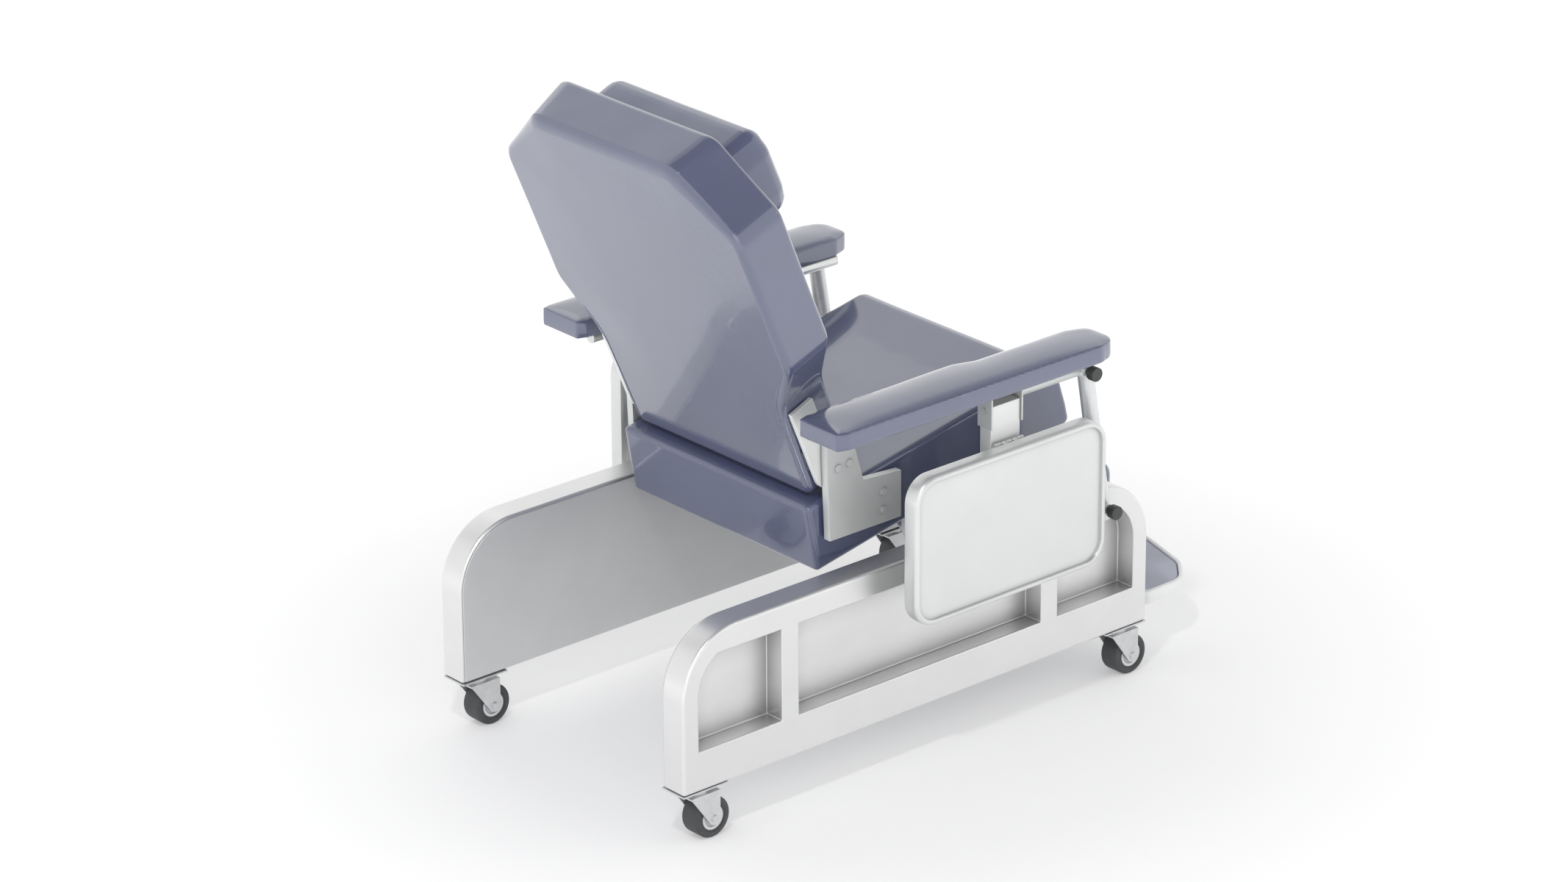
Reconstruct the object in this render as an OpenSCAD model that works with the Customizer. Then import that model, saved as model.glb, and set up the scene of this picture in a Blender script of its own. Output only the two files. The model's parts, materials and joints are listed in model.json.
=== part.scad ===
// Patient recliner: an upholstered treatment chair on two deep side panels with casters.
// The sitter faces -Y, the sitter's left is +X, and the floor is Z = 0.
// Lengths along Y are given from the middle of the side panels; placed() moves the whole
// chair so that the origin lies under the middle of its bounding box.

/* [Side panels] */
// Length of a side panel
panel_len = 1100; // [1080:5:1120]
// Outer face of a side panel, from the middle of the chair
panel_outer_x = 332.5; // [330:0.5:333]
// Thickness of a side panel with its inner cover
panel_thick = 59; // [56:1:60]
// Underside of a side panel
panel_low = 101.7; // [101:0.1:103]
// Top of a side panel
panel_top = 396; // [393:1:398]
// Radius of a panel's two upper corners
panel_corner_r = 122; // [110:1:125]
// Depth of the recesses in a panel's outer face
recess_depth = 40; // [30:1:44]
// Sheet thickness of the inner covers
cover_t = 3; // [2:0.5:4]

/* [Casters] */
// Radius of a wheel over its tyre
wheel_r = 38.1; // [37:0.1:38.5]
// Width of a tyre
tyre_w = 42; // [38:1:43]
// Distance from the swivel axis back to the axle
caster_trail = 22.5; // [18:0.5:24]

/* [Seat] */
// Half width of the seat cushion
seat_half_w = 250.8; // [248:0.1:251]
// Length of the seat cushion
seat_len = 617; // [600:1:625]
// Thickness of the seat cushion
seat_t = 130; // [124:1:131]
// Tilt of the seat, front edge up
seat_tilt = 10.9; // [10.5:0.1:11.3]

/* [Backrest] */
// Lean of the backrest behind the vertical
back_lean = 22.8; // [22:0.1:23.5]
// Length of the backrest
back_len = 714; // [690:1:730]
// Thickness of the backrest
back_t = 107; // [104:1:109]
// Thickness of the head pillow
pillow_t = 98; // [90:1:110]

/* [Leg rest] */
// Half width of the calf pad
calf_half_w = 245; // [235:1:248]
// Front face of the calf pad
calf_front_y = -550; // [-555:1:-548]
// Farthest forward point of the foot plate
foot_front_y = -790; // [-800:1:-780]

/* [Armrests] */
// Underside of an arm board
arm_low = 678; // [676:1:682]
// Height of an arm pad above its board
arm_pad_h = 37; // [34:1:40]
// Radius of the front post tube
post_r = 15; // [13:0.5:15]
// Forward slant of the front post
post_slant = 9.6; // [9.2:0.1:10]

/* [Side trays] */
// Length of a tray
tray_len = 456; // [440:1:460]
// Height of a tray as it hangs
tray_h = 280; // [270:1:285]
// Thickness of a tray over its rim
tray_t = 33; // [30:1:34]
// Depth of the dish in a tray
dish_depth = 7; // [5:1:10]

/* [Hidden] */
$fn = 64;

fit = 0.05;       // radial clearance of a turning pin in its bore
cut = 1;          // how far a cutting body runs past what it cuts

panel_inner_x = panel_outer_x - panel_thick;
panel_mid_x = panel_outer_x - panel_thick / 2;
panel_end = panel_len / 2;
y_origin = -(foot_front_y + panel_end) / 2;

// Panel recesses: their height band and the Y limits of the middle and end ones
recess_low = 177.3;
recess_high = 349.6;
mid_recess_y = [-286, 287.6];
end_recess_y = [327, 514.6];

// Casters
swivel_y = 500;
plate_t = 3;
plate_len = 100;
plate_low = panel_low - plate_t;
king_r = 6;
axle_r = 4;
hub_r = 27;
fork_gap = tyre_w / 2 + 1.5;
fork_t = 3;
fork_top = plate_low - 8.5;
bearing_r = 22;
boss_r = 12.5;
axle_head = 3;

// Seat: rear lower corner of the cushion and the points of its side profile
seat_rear = [172, 383];
seat_board_t = 4;
seat_board_x = 232;
seat_rail_t = 8;
rail_f = [90, 190];
rail_u = [0, 104];
side_plate_x = [180, 188];
tube_r = 16;
front_tube = [-380, 342];
rear_tube = [-250, 342];

// Seat brackets: L-shaped plates beside the seat that carry the back's pivots
bracket_x = [256, 270.9];
pivot = [152, 566];
pivot_r = 6;
bolt_r = 7;
rivet_r = 6.5;
rivet_h = 3;
frame_bolts = [[38, 505], [38, 471]];
bracket_rivets = [[144, 579], [118, 582]];

// Backrest: lower rear edge of the cushion
back_base = [171, 518];
back_board_n = [10, 24];
bar_x = [245.5, 255];
bar_w = 52;
bar_len = 152;

// Leg rest
leg_pivot = [-425, 445];
leg_shaft_r = 8;
calf_rear_y = -450;
calf_low = 98;
calf_top = 392;
leg_plate_t = 4;
leg_arm_x = [196, 204];
foot_pivot = [-572, 118];
foot_pin_r = 5;
foot_knuckle_r = 9;
foot_low = 102;
foot_top = 130;
foot_rim = 11;
foot_pad_t = 8;

// Armrests
arm_board_t = 8;
arm_skirt = 6;
rail_x = 312;
rail_r = 11;
rail_y = [-366, 215];
rail_sunk = 0.4;
slide_bar_x = [341.5, 370];
slide_bar_y = [-193.5, -124.5];
slide_bar_z = [300, 648];
bracket_low = 607;
bracket_web_top = 652;
sheet_t = 3;
post_x = 359;
post_bend_r = 28;
post_top_z = 662;
post_low_z = 356;
knob_boss_r = 10;
knob_boss_h = 18;
stem_r = 4;
knob_r = 13;
knob_face_x = 400;
lower_knob_z = 376;

// Side trays
tray_inner_x = 382;
tray_rear_y = 91;
tray_top = 580;
tray_corner_r = 48;
tray_rim = 11;
tray_floor_t = 6;
tray_pivot = [377.5, 577];
hinge_leaf_z = [544, 571];
tray_knuckle_r = 4.2;
tray_pin_r = 2;

// ---- helpers ----

module placed() {
    translate([0, y_origin, 0]) children();
}

// side = 1 is the sitter's left (+X), side = -1 the right
module on_side(side) {
    placed()
        if (side > 0) children();
        else mirror([1, 0, 0]) children();
}

// Stands a (Y, Z) outline on edge and gives it thickness from x[0] to x[1]
module along_x(x) {
    translate([x[0], 0, 0]) rotate([90, 0, 90]) linear_extrude(x[1] - x[0]) children();
}

module box(lo, hi) {
    translate(lo) cube(hi - lo);
}

// Round bar along X at the (Y, Z) place p
module x_bar(x, p, r) {
    translate([x[0], p[0], p[1]]) rotate([0, 90, 0]) cylinder(h = x[1] - x[0], r = r);
}

// Round bar along Y at the (X, Z) place p
module y_bar(y, p, r) {
    translate([p[0], y[0], p[1]]) rotate([-90, 0, 0]) cylinder(h = y[1] - y[0], r = r);
}

function unit(v) = v / norm(v);

// The arc that rounds corner p, between neighbours a and b, with radius r
function corner_arc(p, a, b, r, n) =
    let (u = unit(a - p), v = unit(b - p), half = acos(u * v) / 2,
         c = p + unit(u + v) * r / sin(half),
         s = p + u * r / tan(half), e = p + v * r / tan(half),
         start = atan2(s[1] - c[1], s[0] - c[0]),
         turn = (atan2(e[1] - c[1], e[0] - c[0]) - start + 540) % 360 - 180)
    [for (i = [0:n]) c + r * [cos(start + turn * i / n), sin(start + turn * i / n)]];

// Outline through pts with corner i rounded to radius rs[i]
function rounded(pts, rs, n = 6) =
    let (k = len(pts))
    [for (i = [0:k - 1]) each
        rs[i] > 0 ? corner_arc(pts[i], pts[(i + k - 1) % k], pts[(i + 1) % k], rs[i], n)
                  : [pts[i]]];

// The right half of a mirrored outline, completed with its left half
function mirrored(half) =
    concat(half, [for (i = [len(half) - 1:-1:0]) [-half[i][0], half[i][1]]]);

function doubled(rs) = concat(rs, [for (i = [len(rs) - 1:-1:0]) rs[i]]);

// A point f forward along the seat and u above its underside, as (Y, Z)
function seat_pt(f, u) =
    seat_rear + f * [-cos(seat_tilt), sin(seat_tilt)] + u * [sin(seat_tilt), cos(seat_tilt)];

// Local X, Y, Z become the chair's X, up the backrest and out of its front face
module in_back() {
    translate([0, back_base[0], back_base[1]]) rotate([90 - back_lean, 0, 0]) children();
}

// ---- side panels ----

module panel_outline() {
    r = panel_corner_r;
    translate([-panel_end, panel_low]) square([panel_len, panel_top - r - panel_low]);
    translate([r - panel_end, panel_low]) square([panel_len - 2 * r, panel_top - panel_low]);
    for (s = [-1, 1]) translate([s * (panel_end - r), panel_top - r]) circle(r, $fn = 96);
}

// End recess: its outer upper corner runs parallel to the panel's own corner
module end_recess_outline() {
    r = panel_corner_r;
    centre = [panel_end - r, panel_top - r];
    intersection() {
        translate([end_recess_y[0], recess_low])
            square([end_recess_y[1] - end_recess_y[0], recess_high - recess_low]);
        union() {
            translate([0, recess_low]) square([centre[0], recess_high - recess_low]);
            translate([0, recess_low]) square([panel_end, centre[1] - recess_low]);
            translate(centre) circle(end_recess_y[1] - centre[0], $fn = 96);
        }
    }
}

module side_shell(side) {
    color("whitesmoke") on_side(side) difference() {
        along_x([panel_inner_x + cover_t, panel_outer_x]) panel_outline();
        along_x([panel_outer_x - recess_depth, panel_outer_x + cut]) {
            translate([mid_recess_y[0], recess_low])
                square([mid_recess_y[1] - mid_recess_y[0], recess_high - recess_low]);
            end_recess_outline();
            mirror([1, 0]) end_recess_outline();
        }
    }
}

module inner_cover(side) {
    color("gainsboro") on_side(side)
        along_x([panel_inner_x, panel_inner_x + cover_t]) panel_outline();
}

module cross_tube(place) {
    color("silver") placed() x_bar([-panel_inner_x, panel_inner_x], place, tube_r);
}

// ---- casters ----

module at_caster(side, end) {
    on_side(side) translate([panel_mid_x, end * swivel_y, 0]) children();
}

module caster_plate(side, end) {
    half_w = panel_thick / 2 - 0.5;
    color("silver") at_caster(side, end) difference() {
        box([-half_w, -plate_len / 2, plate_low], [half_w, plate_len / 2, panel_low]);
        translate([0, 0, plate_low - cut]) cylinder(h = plate_t + 2 * cut, r = king_r + fit);
    }
}

// Side cheek of a fork: upright front edge, slanting rear edge, round axle boss
module fork_cheek_outline() {
    front = -caster_trail - boss_r;
    back = 30;
    centre = [-caster_trail, wheel_r];
    reach = [back, fork_top] - centre;
    tangent = atan2(reach[1], reach[0]) - acos(boss_r / norm(reach));
    translate(centre) circle(boss_r, $fn = 48);
    polygon([[front, centre[1]], [front, fork_top], [back, fork_top],
             centre + boss_r * [cos(tangent), sin(tangent)], centre]);
}

module fork(side, end) {
    half_w = fork_gap + fork_t;
    front = -caster_trail - boss_r;
    color("lightgray") at_caster(side, end) {
        translate([0, 0, fork_top - cut]) cylinder(h = plate_low - 0.5 - fork_top + cut, r = bearing_r);
        translate([0, 0, fork_top - cut]) cylinder(h = panel_low - 0.5 - fork_top + cut, r = king_r);
        box([-half_w, front, fork_top - fork_t], [half_w, 30, fork_top]);
        for (s = [-1, 1])
            along_x(s > 0 ? [fork_gap, half_w] : [-half_w, -fork_gap]) fork_cheek_outline();
        x_bar([-half_w, half_w], [-caster_trail, wheel_r], axle_r);
        for (s = [-half_w - axle_head, half_w])
            x_bar([s, s + axle_head], [-caster_trail, wheel_r], axle_r + 2.5);
    }
}

module at_wheel(side, end) {
    at_caster(side, end) translate([0, -caster_trail, wheel_r]) rotate([0, 90, 0]) children();
}

// Hub section (radius, along the axle): a bore sleeve, a web ring and a raised rim
module hub(side, end) {
    half_w = tyre_w / 2;
    color("gainsboro") at_wheel(side, end) rotate_extrude()
        polygon([[axle_r + fit, -half_w], [11, -half_w], [12, 3 - half_w], [17, 4 - half_w],
                 [18, 1.5 - half_w], [hub_r, 1.5 - half_w], [hub_r, half_w - 1.5],
                 [18, half_w - 1.5], [17, half_w - 4], [12, half_w - 3], [11, half_w],
                 [axle_r + fit, half_w]]);
}

module tyre(side, end) {
    half_w = tyre_w / 2;
    color("dimgray") at_wheel(side, end) rotate_extrude($fn = 96)
        polygon(rounded([[hub_r, -half_w + 1], [wheel_r, -half_w], [wheel_r, half_w],
                         [hub_r, half_w - 1]], [0, 5, 5, 0]));
}

// ---- seat ----

module seat_profile() {
    polygon(rounded([seat_pt(0, 0), seat_pt(seat_len, 0), seat_pt(seat_len - 2, 40),
                     seat_pt(seat_len - 13, seat_t), seat_pt(0, seat_t)],
                    [8, 14, 60, 42, 12]));
}

module seat_board_outline() {
    polygon([seat_pt(20, 0), seat_pt(590, 0), seat_pt(590, seat_board_t), seat_pt(20, seat_board_t)]);
}

module seat_rail_outline() {
    polygon([for (c = [[0, 0], [1, 0], [1, 1], [0, 1]]) seat_pt(rail_f[c[0]], rail_u[c[1]])]);
}

// Pan under the cushion, a rail in each of its flanks and two plates down to the cross tubes
module seat_frame_solid() {
    along_x([-seat_board_x, seat_board_x]) seat_board_outline();
    for (s = [-1, 1]) mirror([s < 0 ? 1 : 0, 0, 0]) {
        along_x([seat_board_x - seat_rail_t, seat_board_x]) seat_rail_outline();
        along_x(side_plate_x)
            polygon([seat_pt(400, seat_board_t), seat_pt(588, seat_board_t), seat_pt(588, 0),
                     [-440, 428], [-404, 318], [-226, 318]]);
    }
}

module seat_frame() {
    x = [-seat_board_x, seat_board_x];
    color("silver") placed() difference() {
        seat_frame_solid();
        x_bar(x, front_tube, tube_r);
        x_bar(x, rear_tube, tube_r);
        x_bar(x, leg_pivot, leg_shaft_r);
    }
}

module leg_shaft() {
    reach = leg_arm_x[1] + 6;
    color("silver") placed() x_bar([-reach, reach], leg_pivot, leg_shaft_r);
}

module seat_cushion() {
    color("slategray") placed() difference() {
        along_x([-seat_half_w, seat_half_w]) seat_profile();
        seat_frame_solid();
        for (p = frame_bolts, s = [-1, 1]) mirror([s < 0 ? 1 : 0, 0, 0])
            x_bar([seat_board_x, seat_half_w + cut], p, bolt_r);
    }
}

// L-shaped plate with a notch, its bolts into the seat rail, rivet heads and the back's pivot pin
module seat_bracket(side) {
    color("lightgray") on_side(side) {
        along_x(bracket_x)
            polygon([[162, 446], [-4, 446], [-4, 534], [84, 540], [103, 604], [103, 645],
                     [169, 645], [169, 600]]);
        for (p = frame_bolts) x_bar([seat_board_x, bracket_x[0] + cut], p, bolt_r);
        for (p = concat(frame_bolts, bracket_rivets))
            x_bar([bracket_x[1] - cut, bracket_x[1] + rivet_h], p, rivet_r);
        x_bar([bar_x[0], bracket_x[0] + cut], pivot, pivot_r);
    }
}

// ---- backrest ----

module back_outline() {
    half = [[234.5, 0], [244, 199], [311, 312], [311, 593], [190, back_len]];
    polygon(rounded(mirrored(half), doubled([18, 120, 60, 45, 45])));
}

// The (X, up) outline through the thickness, with its lower and upper edges rounded
module back_solid() {
    intersection() {
        linear_extrude(back_t) back_outline();
        translate([-400, 0, 0]) rotate([90, 0, 90]) linear_extrude(800)
            polygon(rounded([[0, 0], [back_len, 0], [back_len, back_t], [0, back_t]],
                            [22, 20, 20, 22]));
    }
}

module back_board_solid() {
    box([-205, 30, back_board_n[0]], [205, 560, back_board_n[1]]);
    for (s = [60, 140])
        box([-bar_x[0], s, back_board_n[0]], [bar_x[0], s + 40, back_board_n[1]]);
}

module back_board() {
    color("silver") placed() in_back() back_board_solid();
}

module back_cushion() {
    color("slategray") placed() in_back() difference() {
        back_solid();
        back_board_solid();
    }
}

module head_pillow() {
    half = [[200, 497], [209, 540], [207, 622], [182, 664]];
    color("slategray") placed() in_back() translate([0, 0, back_t])
        linear_extrude(pillow_t) polygon(rounded(mirrored(half), doubled([26, 60, 34, 30])));
}

// Flat bar beside the backrest, round about the pivot at its lower end
module back_bar(side) {
    r = bar_w / 2;
    color("whitesmoke") on_side(side) difference() {
        along_x(bar_x) translate(pivot) rotate(90 - back_lean) {
            circle(r);
            translate([0, -r]) square([bar_len, bar_w]);
        }
        x_bar([bar_x[0] - cut, bar_x[1] + cut], pivot, pivot_r + fit);
    }
}

// ---- leg rest ----

module calf_pad() {
    color("slategray") placed() along_x([-calf_half_w, calf_half_w])
        polygon(rounded([[calf_rear_y, 135], [-474, calf_low], [calf_front_y, calf_low],
                         [calf_front_y, calf_top], [calf_rear_y, calf_top]],
                        [12, 8, 12, 30, 24]));
}

// Plate behind and shelf below the pad, arms up to the shaft, lugs with the foot plate's pins
module leg_frame() {
    t = leg_plate_t;
    shelf_x = calf_half_w - 30;
    color("silver") placed() difference() {
        union() {
            box([-shelf_x, calf_rear_y, 140], [shelf_x, calf_rear_y + t, 370]);
            along_x([-shelf_x, shelf_x])
                polygon([[calf_rear_y, 140], [calf_rear_y + t, 140], [calf_rear_y + t, 132],
                         [-471, calf_low - t], [-562, calf_low - t], [-562, calf_low],
                         [-473.5, calf_low], [calf_rear_y, 134]]);
            for (s = [-1, 1]) mirror([s < 0 ? 1 : 0, 0, 0]) {
                along_x(leg_arm_x) {
                    translate(leg_pivot) circle(15);
                    polygon([[-440, 445], [-446, 370], [-446, 250], [-424, 300], [-410, 445]]);
                }
                x_bar([122, 158], foot_pivot, foot_pin_r);
                along_x([150, 166]) {
                    translate(foot_pivot) circle(foot_knuckle_r);
                    polygon([[-581, 118], [-562, calf_low - t], [-554, calf_low - t],
                             [-554, 106], [-563, 118]]);
                }
            }
        }
        x_bar([-calf_half_w, calf_half_w], leg_pivot, leg_shaft_r + fit);
    }
}

// Plan of the foot plate: wide at the rear, bowed at the front
module foot_outline() {
    half = [[290, -584], [290, -690], [232, -742], [110, foot_front_y + 13], [0, foot_front_y]];
    pts = concat(half, [for (i = [3:-1:0]) [-half[i][0], half[i][1]]]);
    polygon(rounded(pts, [26, 60, 60, 160, 200, 160, 60, 60, 26]));
}

module foot_inner_outline() {
    e = foot_rim;
    half = [[290 - e, -584 - e], [290 - e, -687], [228, -731], [109, foot_front_y + 25],
            [0, foot_front_y + e]];
    pts = concat(half, [for (i = [3:-1:0]) [-half[i][0], half[i][1]]]);
    polygon(rounded(pts, [16, 50, 50, 150, 190, 150, 50, 50, 16]));
}

module foot_tray() {
    color("whitesmoke") placed() difference() {
        union() {
            translate([0, 0, foot_low]) linear_extrude(foot_top - foot_low) foot_outline();
            for (s = [-1, 1]) mirror([s < 0 ? 1 : 0, 0, 0]) {
                x_bar([126, 149.5], foot_pivot, foot_knuckle_r);
                box([126, -588, 110], [149.5, foot_pivot[0], 126]);
            }
        }
        translate([0, 0, foot_top - foot_pad_t - 3]) linear_extrude(foot_pad_t + 3 + cut)
            foot_inner_outline();
        x_bar([-160, 160], foot_pivot, foot_pin_r + fit);
    }
}

module foot_pad() {
    color("lightslategray") placed() translate([0, 0, foot_top - foot_pad_t - 3])
        linear_extrude(foot_pad_t) foot_inner_outline();
}

// ---- armrests ----

// Plan of an arm pad, inset by e: blunt rear end, slight waist, chamfered front end
module arm_outline(e) {
    polygon(rounded([[299 + e, 256 - e], [396 - e, 256 - e], [403 - e, 236 - e],
                     [403 - e, e - 360], [388 - e, e - 404], [317 + e, e - 404],
                     [302 + e, e - 362], [302 + e, -150], [287 + e, -105], [292 + e, 236 - e]],
                    [6, 8, 20, 30, 14, 14, 30, 60, 60, 20], 4));
}

// The pad's skirt comes down round the board, with a shallow groove for the crown of the rail
module arm_pad(side) {
    color("slategray") on_side(side) translate([0, 0, arm_low]) difference() {
        linear_extrude(arm_board_t + arm_pad_h) arm_outline(0);
        translate([0, 0, -cut]) linear_extrude(arm_board_t + cut) arm_outline(arm_skirt);
        box([rail_x - rail_r / 2, rail_y[0] - cut, -cut], [rail_x + rail_r / 2, rail_y[1], 1.2 * rail_sunk]);
    }
}

// Board with the straight round rail beneath its inner edge
module arm_board(side) {
    color("whitesmoke") on_side(side) {
        translate([0, 0, arm_low]) linear_extrude(arm_board_t) arm_outline(arm_skirt);
        y_bar(rail_y, [rail_x, arm_low + rail_sunk - rail_r], rail_r);
    }
}

// U-shaped bracket round the head of the slide bar, open outwards, with a tube to the bend
module arm_bracket(side) {
    t = sheet_t;
    x = [slide_bar_x[0] - t, slide_bar_x[1] + 4];
    y = slide_bar_y;
    color("lightgray") on_side(side) {
        box([x[0], y[0] - t, bracket_low], [slide_bar_x[0], y[1] + t, bracket_web_top]);
        box([x[0], y[0] - t, bracket_low], [x[1], y[0], arm_low]);
        box([x[0], y[1], bracket_low], [x[1], y[1] + t, arm_low]);
        y_bar([y[1] + t - cut, y[1] + t + 2], [slide_bar_x[0] + 14, 640], 4);
        y_bar([bend_centre_y, y[0] - t + cut], [post_x, post_top_z], post_r);
    }
}

// Box-section bar that carries the arm and runs down in the guide, open at its lower end
module arm_bar(side) {
    t = sheet_t;
    lo = [slide_bar_x[0], slide_bar_y[0], slide_bar_z[0]];
    hi = [slide_bar_x[1], slide_bar_y[1], slide_bar_z[1]];
    color("whitesmoke") on_side(side) difference() {
        box(lo, hi);
        box(lo + [t, t, -cut], hi - [t, t, t]);
    }
}

// C-shaped guide on the panel's upper band
module arm_guide(side) {
    gap = 0.5;
    low = 300;
    high = 392;
    x = [panel_outer_x, slide_bar_x[1] + 6];
    y = [slide_bar_y[0] - gap, slide_bar_y[1] + gap];
    color("lightgray") on_side(side) {
        box([x[0], y[0] - 4, low], [slide_bar_x[0] - gap, y[1] + 4, high]);
        box([x[0], y[0] - 4, low], [x[1], y[0], high]);
        box([x[0], y[1], low], [x[1], y[1] + 4, high]);
        box([x[1] - 4, y[0] - 4, low], [x[1], y[0] + 10, high]);
        box([x[1] - 4, y[1] - 10, low], [x[1], y[1] + 4, high]);
    }
}

// Front post: along under the arm, round a bend and down with a forward slant
bend_centre_z = post_top_z - post_bend_r;
bend_centre_y = -335;
post_dir = [-sin(post_slant), -cos(post_slant)];
post_start = [bend_centre_y, bend_centre_z]
    + post_bend_r * [-cos(post_slant), sin(post_slant)];
upper_knob = [bend_centre_y, bend_centre_z] + post_bend_r * [-sin(35), cos(35)];
lower_knob = post_start + post_dir * (post_start[1] - lower_knob_z) / cos(post_slant);
post_len = (post_start[1] - post_low_z) / cos(post_slant);
joint_gap = 0.02;

module arm_bend(side) {
    color("silver") on_side(side) difference() {
        union() {
            translate([post_x, bend_centre_y, bend_centre_z]) rotate([90, 0, 90])
                rotate([0, 0, 90]) rotate_extrude(angle = 90 - post_slant)
                    translate([post_bend_r, 0]) circle(post_r);
            x_bar([post_x, post_x + knob_boss_h], upper_knob, knob_boss_r);
        }
        x_bar([post_x - 11, post_x + knob_boss_h + cut], upper_knob, stem_r + fit);
    }
}

module arm_post(side) {
    color("silver") on_side(side) difference() {
        union() {
            translate([post_x, post_start[0], post_start[1]]) rotate([180 - post_slant, 0, 0])
                translate([0, 0, joint_gap]) cylinder(h = post_len - joint_gap, r = post_r);
            x_bar([post_x, post_x + knob_boss_h], lower_knob, knob_boss_r);
        }
        x_bar([post_x - 11, post_x + knob_boss_h + cut], lower_knob, stem_r + fit);
    }
}

// Block on the panel behind the lower end of the post
module arm_lock(side) {
    p = lower_knob;
    color("lightgray") on_side(side)
        box([panel_outer_x, p[0] - 20, p[1] - 16], [post_x - post_r - 0.5, p[0] + 20, p[1] + 16]);
}

module knob(side, p) {
    neck = post_x + knob_boss_h + 0.3;
    color("dimgray") on_side(side) {
        x_bar([post_x - 9, neck + cut], p, stem_r);
        x_bar([neck, knob_face_x - 15], p, 8);
        x_bar([knob_face_x - 16, knob_face_x], p, knob_r);
    }
}

// ---- side trays ----

// Y spans of the hinge knuckles: the leaf's first, then the tray's between them
leaf_knuckles = [[-193, -178], [-165.5, -152.5], [-140, -125]];
tray_knuckles = [[-177.5, -166], [-152, -140.5]];

module tray_hinge(side) {
    x = [slide_bar_x[1], slide_bar_x[1] + sheet_t];
    y = [leaf_knuckles[0][0], leaf_knuckles[2][1]];
    color("silver") on_side(side) {
        box([x[0], y[0], hinge_leaf_z[0]], [x[1], y[1], hinge_leaf_z[1]]);
        for (k = leaf_knuckles) {
            box([x[0], k[0], hinge_leaf_z[1] - cut], [tray_pivot[0], k[1], tray_pivot[1]]);
            y_bar(k, tray_pivot, tray_knuckle_r);
        }
        y_bar(y, tray_pivot, tray_pin_r);
    }
}

// (Y, Z) outline of a tray, inset by e
module tray_outline(e) {
    y = [tray_rear_y - tray_len + e, tray_rear_y - e];
    z = [tray_top - tray_h + e, tray_top - e];
    r = tray_corner_r - e;
    polygon(rounded([[y[0], z[0]], [y[1], z[0]], [y[1], z[1]], [y[0], z[1]]], [r, r, r, r], 10));
}

// Rimmed dish, open outwards as it hangs, hollow behind, with knuckles on its upper inner edge
module tray(side) {
    x = [tray_inner_x, tray_inner_x + tray_t];
    floor_x = x[1] - dish_depth;
    color("whitesmoke") on_side(side) difference() {
        union() {
            along_x(x) tray_outline(0);
            for (k = tray_knuckles) {
                y_bar(k, tray_pivot, tray_knuckle_r);
                box([tray_pivot[0], k[0], tray_pivot[1] - 2], [tray_inner_x + cut, k[1], tray_top - 0.5]);
            }
        }
        along_x([floor_x, x[1] + cut]) tray_outline(tray_rim);
        along_x([x[0] - cut, floor_x - tray_floor_t]) tray_outline(tray_rim);
        for (k = tray_knuckles)
            y_bar([k[0] - cut, k[1] + cut], tray_pivot, tray_pin_r + fit);
    }
}

side_shell(1);  // left_side_shell
side_shell(-1);  // right_side_shell
inner_cover(1);  // left_inner_cover
inner_cover(-1);  // right_inner_cover
cross_tube(front_tube);  // front_cross_tube
cross_tube(rear_tube);  // rear_cross_tube
seat_frame();
leg_shaft();
seat_cushion();
seat_bracket(1);  // left_seat_bracket
seat_bracket(-1);  // right_seat_bracket
arm_guide(1);  // left_arm_guide
arm_guide(-1);  // right_arm_guide
arm_lock(1);  // left_arm_lock
arm_lock(-1);  // right_arm_lock
caster_plate(1, -1);  // left_front_caster_plate
caster_plate(-1, -1);  // right_front_caster_plate
caster_plate(1, 1);  // left_rear_caster_plate
caster_plate(-1, 1);  // right_rear_caster_plate
fork(1, -1);  // left_front_fork
fork(-1, -1);  // right_front_fork
fork(1, 1);  // left_rear_fork
fork(-1, 1);  // right_rear_fork
hub(1, -1);  // left_front_hub
hub(-1, -1);  // right_front_hub
hub(1, 1);  // left_rear_hub
hub(-1, 1);  // right_rear_hub
tyre(1, -1);  // left_front_tyre
tyre(-1, -1);  // right_front_tyre
tyre(1, 1);  // left_rear_tyre
tyre(-1, 1);  // right_rear_tyre
back_board();
back_cushion();
head_pillow();
back_bar(1);  // left_back_bar
back_bar(-1);  // right_back_bar
leg_frame();
calf_pad();
foot_tray();
foot_pad();
arm_pad(1);  // left_arm_pad
arm_pad(-1);  // right_arm_pad
arm_board(1);  // left_arm_board
arm_board(-1);  // right_arm_board
arm_bracket(1);  // left_arm_bracket
arm_bracket(-1);  // right_arm_bracket
arm_bar(1);  // left_arm_bar
arm_bar(-1);  // right_arm_bar
arm_bend(1);  // left_arm_bend
arm_bend(-1);  // right_arm_bend
arm_post(1);  // left_arm_post
arm_post(-1);  // right_arm_post
tray_hinge(1);  // left_tray_hinge
tray_hinge(-1);  // right_tray_hinge
knob(1, upper_knob);  // left_upper_knob
knob(-1, upper_knob);  // right_upper_knob
knob(1, lower_knob);  // left_lower_knob
knob(-1, lower_knob);  // right_lower_knob
tray(1);  // left_tray
tray(-1);  // right_tray
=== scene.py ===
import bpy
import bmesh
import json
import math
import numpy as np
from mathutils import Matrix, Vector
from mathutils.kdtree import KDTree


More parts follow.
